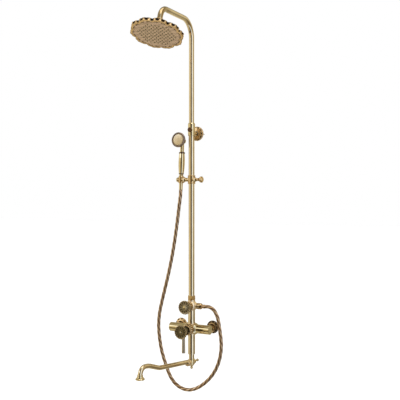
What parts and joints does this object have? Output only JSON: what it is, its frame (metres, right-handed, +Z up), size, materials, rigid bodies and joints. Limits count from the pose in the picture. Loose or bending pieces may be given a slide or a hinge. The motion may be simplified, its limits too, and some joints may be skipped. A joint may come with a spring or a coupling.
{
  "type": "shower column",
  "caption": "Wall-hung shower column: bar mixer, diverter, swinging spout, telescopic riser with gooseneck and tilting lobed rain head, and a hand shower on a sliding holder.",
  "frame": {"origin": "on the wall plane, midway between the two wall inlets", "axes": "+X to the right as one faces it, +Y into the wall, +Z up"},
  "size_m": [0.3131, 0.4755, 1.5706],
  "materials": {
    "brass_bar": "polished antique brass",
    "brass_tube": "polished antique brass tube",
    "brass_ornate": "cast antique brass with dark recesses",
    "brass_patina": "brushed olive brown patina",
    "copper_nut": "polished warm brass",
    "hose_bronze": "spiral bronze metal hose",
    "spray_plate": "brushed tan brass with nozzles",
    "screw_face": "dark bronze",
    "handset_trim": "dark bronze rim",
    "handset_plate": "pale spray plate",
    "rubber": "black rubber",
    "plastic": "white moulded plastic",
    "steel": "plain steel"
  },
  "bodies": {
    "column": {"mixer_body": "brass_bar", "bar_end_caps": "brass_bar", "s_unions": "brass_bar", "union_nuts": "copper_nut", "washers": "rubber", "wall_rosettes": "brass_ornate", "mixer_cartridge": "plastic", "mixer_collar": "brass_ornate", "riser_stub": "brass_tube", "spout_stub": "brass_tube", "spout_orings": "rubber", "diverter_body": "brass_bar", "diverter_cartridge": "plastic", "diverter_collar": "brass_ornate", "outlet_nipple": "brass_bar", "hose_nut": "copper_nut", "hose_ferrule": "hose_bronze", "hose_loop": "hose_bronze", "hose_rise": "hose_bronze", "riser_nut": "copper_nut", "riser_tube": "brass_tube", "bracket_sleeve": "brass_bar", "bracket_rod": "brass_bar", "bracket_base": "steel", "bracket_screws": "steel", "bracket_rosette": "brass_ornate"},
    "mixer_stem": {"mixer_hub": "steel"},
    "mixer_control": {"mixer_knob": "brass_patina", "mixer_knob_cap": "brass_bar", "mixer_lever": "hose_bronze"},
    "spout": {"spout_elbow": "brass_bar", "spout_collar": "copper_nut", "spout_tube": "brass_tube", "spout_bell": "brass_bar", "spout_aerator": "steel", "spout_finials": "brass_bar"},
    "diverter": {"diverter_spindle": "steel", "diverter_knob": "brass_patina", "diverter_button": "brass_bar"},
    "clamp_screw": {"telescope_screw": "screw_face"},
    "telescope": {"telescope_seal": "rubber"},
    "arm": {"arm_tube": "brass_tube", "swivel_ball": "copper_nut"},
    "ball_ring": {"ball_seal": "rubber"},
    "rain_head": {"head_nut": "copper_nut", "head_shell": "brass_ornate", "head_face": "spray_plate", "head_nozzles": "rubber"},
    "rail_bush": {"slide_bush": "plastic"},
    "slider": {"slider_body": "copper_nut"},
    "slider_lock": {"slider_knob": "copper_nut"},
    "holder": {"holder_socket": "copper_nut", "holder_cap": "brass_bar"},
    "handset": {"handset_nut": "brass_bar", "handset_handle": "brass_bar", "handset_collars": "handset_trim", "handset_head": "brass_bar", "handset_ring": "handset_trim", "handset_face": "handset_plate", "hose_top": "hose_bronze"}
  },
  "joints": [
    {"name": "warmth", "type": "hinge", "parent": "column", "child": "mixer_stem", "pos_m": [0, -0.052, -0.004], "axis": [0, -1, 0], "range_deg": [-45, 45]},
    {"name": "flow", "type": "hinge", "parent": "mixer_stem", "child": "mixer_control", "pos_m": [0, -0.1, -0.004], "axis": [-1, 0, 0], "range_deg": [0, 22]},
    {"name": "diverter_turn", "type": "hinge", "parent": "column", "child": "diverter", "pos_m": [0, -0.052, 0.092], "axis": [0, -1, 0], "range_deg": [-90, 90]},
    {"name": "spout_swing", "type": "hinge", "parent": "column", "child": "spout", "pos_m": [0, -0.052, -0.145], "axis": [0, 0, 1], "range_deg": [-66, 84]},
    {"name": "clamp_turn", "type": "hinge", "parent": "column", "child": "clamp_screw", "pos_m": [0, -0.052, 0.831], "axis": [0, -1, 0], "range_deg": [0, 360]},
    {"name": "telescope_slide", "type": "slide", "parent": "column", "child": "telescope", "axis": [0, 0, 1], "range_m": [-0.2, 0.12]},
    {"name": "arm_swivel", "type": "hinge", "parent": "telescope", "child": "arm", "pos_m": [0, -0.052, 0.86], "axis": [0, 0, 1], "range_deg": [-90, 90]},
    {"name": "head_tilt", "type": "hinge", "parent": "arm", "child": "ball_ring", "pos_m": [0, -0.3279, 1.20789], "axis": [1, 0, 0], "range_deg": [-12, 12]},
    {"name": "head_roll", "type": "hinge", "parent": "ball_ring", "child": "rain_head", "pos_m": [0, -0.3279, 1.20789], "axis": [0, 0.9455, -0.3256], "range_deg": [-12, 12]},
    {"name": "rail_slide", "type": "slide", "parent": "column", "child": "rail_bush", "axis": [0, 0, 1], "range_m": [-0.2, 0.15], "deforming": ["hose_rise", "hose_top"]},
    {"name": "slider_swivel", "type": "hinge", "parent": "rail_bush", "child": "slider", "pos_m": [0, -0.052, 0.622], "axis": [0, 0, 1], "range_deg": [-20, 45]},
    {"name": "slider_clamp", "type": "hinge", "parent": "slider", "child": "slider_lock", "pos_m": [0.03, -0.052, 0.622], "axis": [1, 0, 0], "range_deg": [0, 360]},
    {"name": "holder_tilt", "type": "hinge", "parent": "slider", "child": "holder", "pos_m": [-0.05, -0.052, 0.622], "axis": [1, 0, 0], "range_deg": [0, 45]},
    {"name": "handset_lift", "type": "slide", "parent": "holder", "child": "handset", "axis": [0, 0.0663, 0.9978], "range_m": [0, 0.05]}
  ]
}
